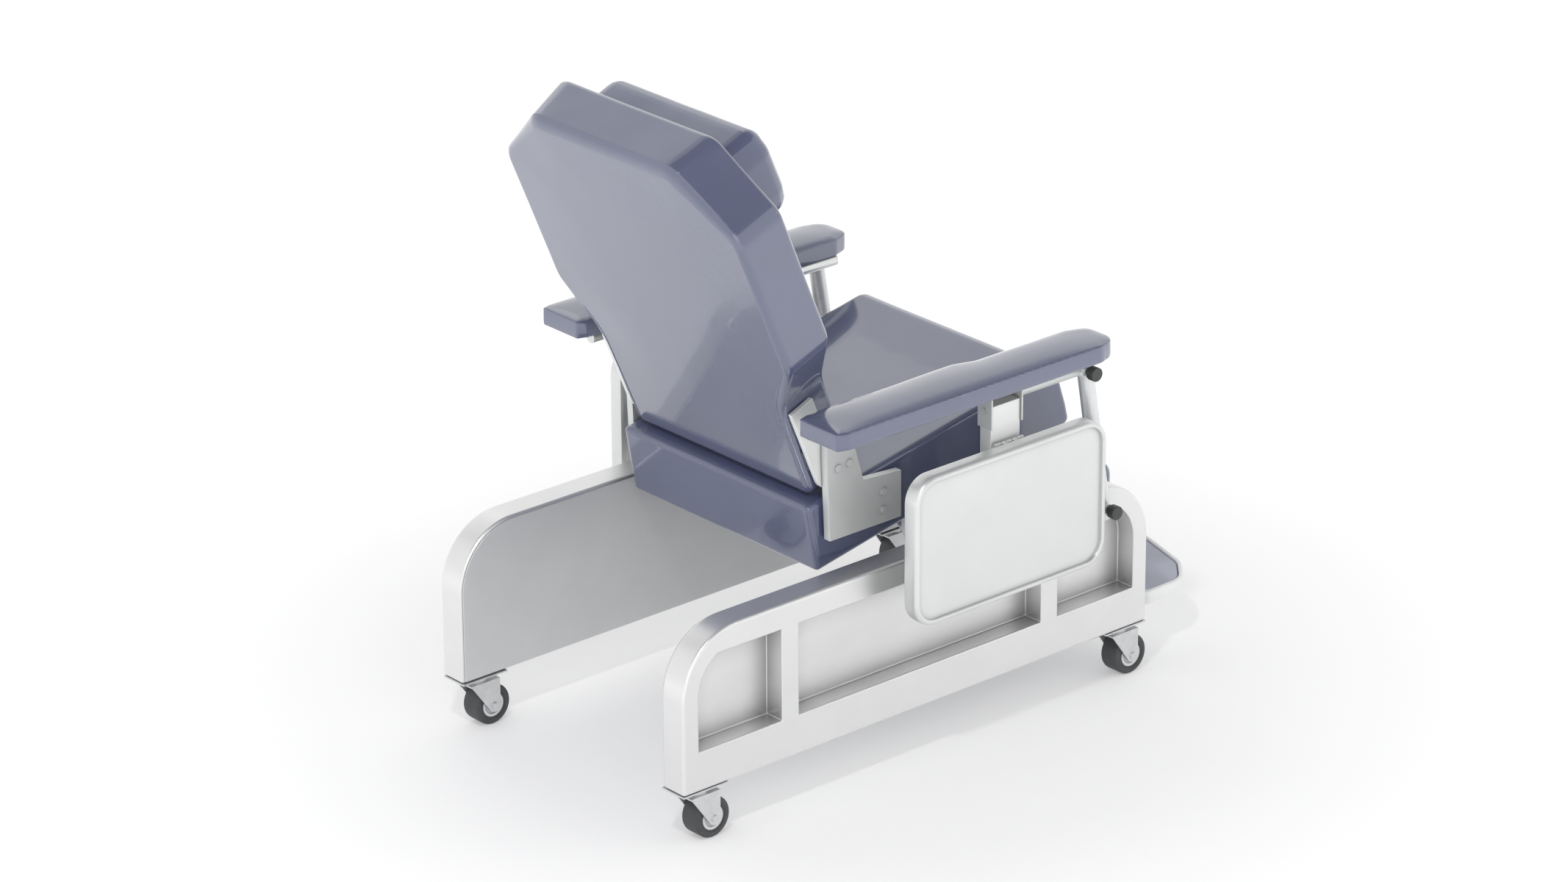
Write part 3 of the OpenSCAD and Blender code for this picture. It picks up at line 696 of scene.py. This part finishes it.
PILLOW = [(200, 497), (209, 540), (207, 622), (182, 664),
          (-182, 664), (-207, 622), (-209, 540), (-200, 497)]
pillow = slab("pillow_upholstery", PILLOW, [30, 60, 40, 34, 34, 40, 60, 30],
              [(e + 1, h) for e, h in rim(14, 34, 107.5, 203, 8)], back_point)
cushion(pillow, [((1, 0, 0), 12), (UP_BACK, 12), (OUT_BACK, 12)], 7.0, 3.0)
fit_out(pillow, "backrest", "pillow_vinyl", "head_pillow", fill=0.8)


# ---------------------------------------------------------------- seat and calf pad

ALONG_SEAT = (0, -math.cos(TILT), math.sin(TILT))
UP_SEAT = (0, math.sin(TILT), math.cos(TILT))
SEAT = [seat_yz(0, -1.2), seat_yz(617, -1.2), seat_yz(615, 40), seat_yz(604, 130), seat_yz(0, 130)]
SEAT_R = [8, 14, 60, 42, 10]
seat = slab("seat_upholstery", SEAT, SEAT_R, [(e + 0.5, h) for e, h in rim(11, 11, -250, 250, 6)],
            lambda u, v, h: P(h, u, v))
cushion(seat, [((1, 0, 0), 14), (ALONG_SEAT, 14), (UP_SEAT, 14)], 8.0, 3.5,
        pinned=lambda c: ((c[1] / MM - Y0 - SEAT_REAR[0]) * UP_SEAT[1]
                          + (c[2] / MM - SEAT_REAR[1]) * UP_SEAT[2]) < 5)
fit_out(seat, "base", "seat_vinyl", "seat_cushion", fill=0.9)
top_edge = [P(x, *seat_yz(-3, 121)) for x in (-240, 240)]
cord("seat_top_welt", seat, top_edge, 1.3, "base", "seat_vinyl")
for side, k in SIDES:
    seam = [P(k * 253, *seat_yz(4, u)) for u in (10, 118)]
    cord(side + "_seat_seam", seat, seam, 1.2, "base", "seat_vinyl")

CALF = [(-450, 135), (-474, 98), (-550, 98), (-550, 392), (-450, 392)]
calf = slab("calf_upholstery", CALF, [12, 8, 14, 30, 24],
            [(e + 0.5, h) for e, h in rim(18, 18, -244.5, 244.5, 6)], lambda u, v, h: P(h, u, v))
cushion(calf, [((1, 0, 0), 14), ((0, 1, 0), 14), ((0, 0, 1), 14)], 8.0, 4.0,
        pinned=lambda c: c[1] / MM - Y0 > -455)
fit_out(calf, "leg_rest", "calf_vinyl", "calf_pad", fill=0.8)


# ---------------------------------------------------------------- armrests

ARM = [(299, 256), (396, 256), (403, 236), (403, -360), (388, -404), (317, -404),
       (302, -362), (302, -150), (287, -105), (292, 236)]
ARM_R = [6, 8, 20, 44, 34, 26, 30, 40, 40, 20]
ARM_PROFILE = [(10, 680), (6, 678.4), (3.0, 678.0), (1.2, 678.8), (0.3, 681), (0.0, 688), (0.0, 697),
               (0.2, 705.5), (0.6, 708.0), (1.5, 709.7), (4.5, 710.9), (8, 711.8), (12, 712.3),
               (17, 712.7), (22, 712.9)]
arm = loft("left_arm_upholstery", [[P(q.x, q.y, h) for q in outline(ARM, ARM_R, e, 8, 2.5 + 0.7 * e)]
                                   for e, h in ARM_PROFILE])
cushion(arm, [((1, 0, 0), 8), ((0, 1, 0), 9)], 5.0, 6.5, pinned=lambda c: c[2] / MM < 706.5,
        relaxed=lambda c: c[2] / MM > 711.0)
arms = {"left": arm, "right": mirrored_copy(arm, "right_arm_upholstery")}
for side, k in SIDES:
    fit_out(arms[side], side + "_arm", "arm_vinyl", side + "_arm_pad", fill=0.9)
    hem = [P(k * q.x, q.y, 709.1) for q in outline(ARM, ARM_R, -2, 4)]
    cord(side + "_arm_welt", arms[side], hem + hem[:2], 1.1, side + "_arm", "arm_vinyl")


# ---------------------------------------------------------------- side trays

TRAY = [(-365, 300), (91, 300), (91, 580), (-365, 580)]
TRAY_PROFILE = [(13, 401.5), (11.5, 399), (9.5, 394), (8.5, 384.5), (7.5, 382.6), (3.5, 382.2),
                (1.6, 383), (0.6, 385), (0.2, 395), (0.0, 402), (0.3, 407), (1.6, 411), (4.2, 413.9),
                (7.0, 414.8), (9.0, 414.6), (10.2, 413.7), (10.8, 412.2), (11.0, 409.8), (11.6, 408.5),
                (13.2, 408.1), (24, 408.0)]
for side, k in SIDES:
    rings = [[P(k * h, q.x, q.y) for q in outline(TRAY, [48] * 4, e, 12, 8)] for e, h in TRAY_PROFILE]
    tray = loft(side + "_tray_shell", rings)
    for lo, hi in ((-177.5, -166), (-152, -140.5)):
        pin = [P(k * TRAY_HINGE[0], y, TRAY_HINGE[1]) for y in (lo, hi)]
        add_bar(tray, *pin, TRAY_KNUCKLE_R)
        add_block(tray, P(k * TRAY_HINGE[0], lo, TRAY_HINGE[1] - 2), P(k * 384, hi, TRAY_HINGE[1] + 2.5))
    smooth_shading(tray, 40)
    m = tray.modifiers.new("flat", "WEIGHTED_NORMAL")
    m.keep_sharp = True
    bake(tray)
    fit_out(tray, side + "_side_tray", "tray", side + "_tray")


# ---------------------------------------------------------------- foot plate

half = [(290, -584), (290, -690), (232, -742), (110, -777), (0, -790)]
FOOT = half + [(-x, y) for x, y in half[3::-1]]
FOOT_R = [26, 60, 60, 160, 200, 160, 60, 60, 26]
FOOT_PROFILE = [(12, 102), (4, 102.3), (1, 104), (0.1, 108), (0, 116), (0.3, 124), (1.6, 128),
                (4.2, 129.8), (7.0, 129.7), (8.8, 128.2), (9.8, 125), (10.6, 121), (13, 119.6), (20, 119.4)]
foot = slab("foot_plate_tray", FOOT, FOOT_R, FOOT_PROFILE, lambda u, v, h: P(u, v, h))
for _, k in SIDES:
    pin = [P(k * x, *FOOT_PIN) for x in (126, 149.5)]
    add_bar(foot, *pin, FOOT_KNUCKLE_R)
    add_block(foot, P(k * 126, -588, 110), P(k * 149.5, -573, 126))
smooth_shading(foot, 40)
fit_out(foot, "foot_plate", "foot_tray", "foot_tray")
mat = slab("foot_plate_mat", FOOT, FOOT_R,
           [(11.3, 119.2), (11.1, 124), (11.8, 126), (13.6, 126.9), (17, 127)],
           lambda u, v, h: P(u, v, h))
smooth_shading(mat, 40)
fit_out(mat, "foot_plate", "foot_pad", "foot_pad")


# ---------------------------------------------------------------- inner covers

PANEL = [(-550, 101.7), (550, 101.7), (550, 396), (-550, 396)]
for side, k in SIDES:
    rings = [[P(k * h, q.x, q.y) for q in outline(PANEL, [3, 3, 122, 122], e, 16)]
             for e, h in ((5.4, 276.4), (4.6, 276), (4.5, 274.2), (4.9, 273.7), (6, 273.5))]
    cover = loft(side + "_cover_sheet", rings)
    smooth_shading(cover, 40)
    fit_out(cover, "base", "cover", side + "_inner_cover")


# ---------------------------------------------------------------- hard parts with rolled edges

def outer_edge(e):
    """True on the outer contour of a side shell, false in its recesses."""
    c = (e.verts[0].co + e.verts[1].co) / 2
    y, z = c.y / MM - Y0, c.z / MM
    if z < 110 or z > 360 or abs(y) > 520:
        return True
    corner = (abs(y) - 428, z - 274)
    return corner[0] > 0 and corner[1] > 0 and math.hypot(*corner) > 100


ROLL = {"seat_bracket": 0.6, "arm_guide": 0.8, "arm_lock": 1.5, "back_bar": 1.0, "arm_board": 1.6,
        "arm_bracket": 0.7, "arm_bar": 1.6, "front_caster_plate": 0.8, "rear_caster_plate": 0.8,
        "front_fork": 0.7, "rear_fork": 0.7, "front_hub": 0.5, "rear_hub": 0.5, "upper_knob": 1.6,
        "lower_knob": 1.6, "tray_hinge": 0.6}
for side, k in SIDES:
    for part, w in ROLL.items():
        node = side + "_" + part
        fit_out(soften(node, w, 2), body_of[node], slot_of[node], node)
    node = side + "_side_shell"
    shell = soften(node, 6.0, 4, pick=outer_edge, second=(2.5, 3, lambda e: not outer_edge(e)))
    fit_out(shell, "base", "shell", node)


# ---------------------------------------------------------------- stage, light and camera

def floor_material():
    m = Nodes("floor_pale")
    col = m.ramp(m.noise(0.8, 2.0), [(0.3, (0.80, 0.80, 0.80)), (0.7, (0.82, 0.82, 0.82))])
    far = m.put("ShaderNodeVectorMath")
    far.operation = "LENGTH"
    m.t.links.new(m.obj, far.inputs[0])
    # Painted light: the floor glows, more the farther it is from the chair, lighting the chair from below;
    # near the chair it glows less, painted shade for the pool of shadow.
    painted_floor_glow = m.span(far.outputs["Value"], 0.27, 0.54, 0.7, 2.0)
    return m.done(Base_Color=col, Roughness=0.9, Emission_Color=(1, 1, 1, 1), Emission_Strength=painted_floor_glow)


floor = new_mesh("floor", [(-40, -40, 0), (40, -40, 0), (40, 40, 0), (-40, 40, 0)], [(0, 1, 2, 3)])
floor.data.materials.append(floor_material())

scene = bpy.context.scene
world = bpy.data.worlds.new("studio")
scene.world = world
world.use_nodes = True
wt = world.node_tree
sky = wt.nodes.new("ShaderNodeTexCoord")
split = wt.nodes.new("ShaderNodeSeparateXYZ")
wt.links.new(sky.outputs["Generated"], split.inputs[0])
up = wt.nodes.new("ShaderNodeValToRGB")
up.color_ramp.elements[0].position = 0.0
up.color_ramp.elements[0].color = (1.0, 1.0, 1.0, 1)
up.color_ramp.elements[1].position = 0.95
up.color_ramp.elements[1].color = (0.34, 0.34, 0.35, 1)
for place, level in ((0.60, 1.0), (0.73, 0.42)):
    up.color_ramp.elements.new(place).color = (level, level, level, 1)
wt.links.new(split.outputs["Z"], up.inputs["Fac"])
wt.links.new(up.outputs["Color"], wt.nodes["Background"].inputs["Color"])
wt.nodes["Background"].inputs["Strength"].default_value = 1.0


def area_light(name, at, aim, size, power):
    data = bpy.data.lights.new(name, "AREA")
    data.shape = "DISK"
    data.size = size
    data.energy = power
    ob = bpy.data.objects.new(name, data)
    ob.location = at
    ob.rotation_euler = (Vector(aim) - Vector(at)).to_track_quat("-Z", "Y").to_euler()
    scene.collection.objects.link(ob)
    return ob


area_light("key", (-5.5, 4.5, 3.2), (0, 0, 0.5), 5.5, 50)
area_light("softbox", (3.6, -0.5, 4.7), (0, 0.2, 0.9), 5.0, 20)
area_light("strip", (-4.2, -3.5, 3.0), (0, 0, 0.6), 0.22, 4)
area_light("spark", (-2.2, 3.2, 5.5), (0, 0, 0.6), 0.35, 60)

scene.view_settings.view_transform = "Standard"
cam_data = bpy.data.cameras.new("camera")
cam_data.lens = 133.52
cam_data.sensor_width = 36
cam_data.clip_end = 200
cam = bpy.data.objects.new("camera", cam_data)
scene.collection.objects.link(cam)
scene.camera = cam
az, el, roll = math.radians(229.019), math.radians(22.765), math.radians(-0.327)
back_dir = Vector((math.sin(az) * math.cos(el), -math.cos(az) * math.cos(el), math.sin(el)))
right = Vector((math.cos(az), math.sin(az), 0))
upward = back_dir.cross(right)
turn = Matrix((right, upward, back_dir)).transposed()
aim = Vector((0.01517, 0.13749, 0.505))
distance = 10.3227
cam.matrix_world = (Matrix.Translation(aim + back_dir * distance)
                    @ turn.to_4x4() @ Matrix.Rotation(roll, 4, "Z"))
